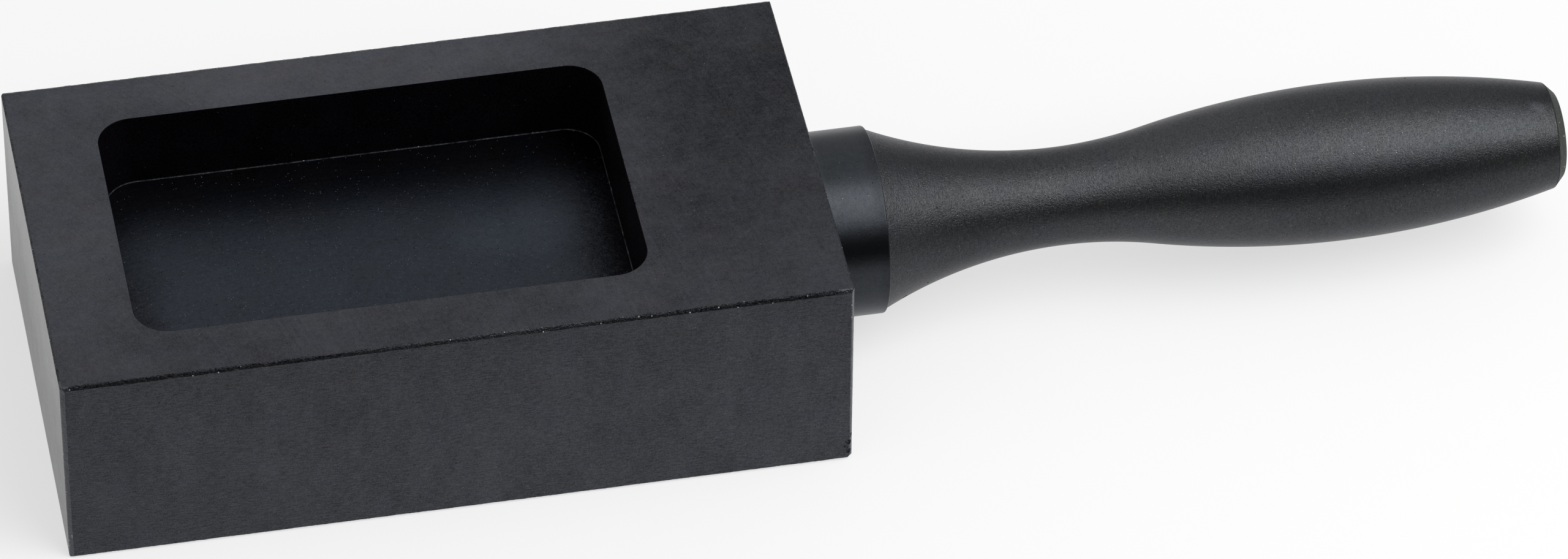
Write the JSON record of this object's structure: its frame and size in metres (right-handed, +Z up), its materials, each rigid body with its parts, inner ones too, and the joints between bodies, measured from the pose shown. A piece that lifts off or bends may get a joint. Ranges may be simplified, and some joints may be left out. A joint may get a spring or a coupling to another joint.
{
  "type": "ingot mould",
  "caption": "Graphite ingot mould: a rectangular block with an open, round-cornered pocket in its top, and a turned, swelling handle whose collar butts against the end face.",
  "frame": {"origin": "centre of the block's base, on the surface that the mould stands on", "axes": "+X along the block towards the handle's free end, +Y across the block, +Z up, out of the pocket"},
  "size_m": [0.246, 0.07, 0.036],
  "materials": {
    "block_graphite": "milled fine-grained graphite, matte with a faint sheen",
    "handle_graphite": "turned fine-grained graphite, satin",
    "stud_steel": "plain stainless steel"
  },
  "bodies": {
    "root": {"mould_block": "block_graphite", "handle": "handle_graphite", "handle_stud": "stud_steel"}
  },
  "joints": []
}
